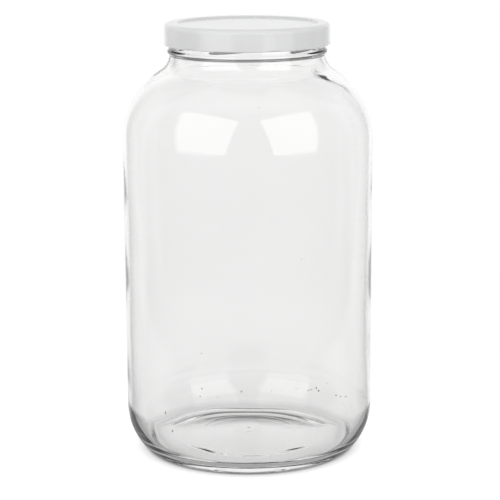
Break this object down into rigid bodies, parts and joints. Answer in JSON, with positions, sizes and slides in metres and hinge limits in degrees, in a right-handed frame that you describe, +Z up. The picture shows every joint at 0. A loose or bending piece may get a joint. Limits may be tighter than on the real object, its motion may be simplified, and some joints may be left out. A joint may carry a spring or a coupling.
{
  "type": "glass jar",
  "caption": "Wide-mouth round storage jar of clear glass with a domed shoulder and short neck, shut by a white pressed-metal lug lid.",
  "frame": {"origin": "on the jar's axis, in the plane that the jar stands on", "axes": "+Z up along the jar's axis; the jar is round, and +X and +Y are level, with -Y towards the viewer in the front view"},
  "size_m": [0.172, 0.172, 0.2988],
  "materials": {
    "clear_glass": "clear, fire-polished, smooth",
    "white_lacquer": "glossy white lacquer on tinplate",
    "sealing_compound": "satin"
  },
  "bodies": {
    "root": {"jar": "clear_glass", "lid": "white_lacquer", "lid_seal": "sealing_compound"}
  },
  "joints": []
}
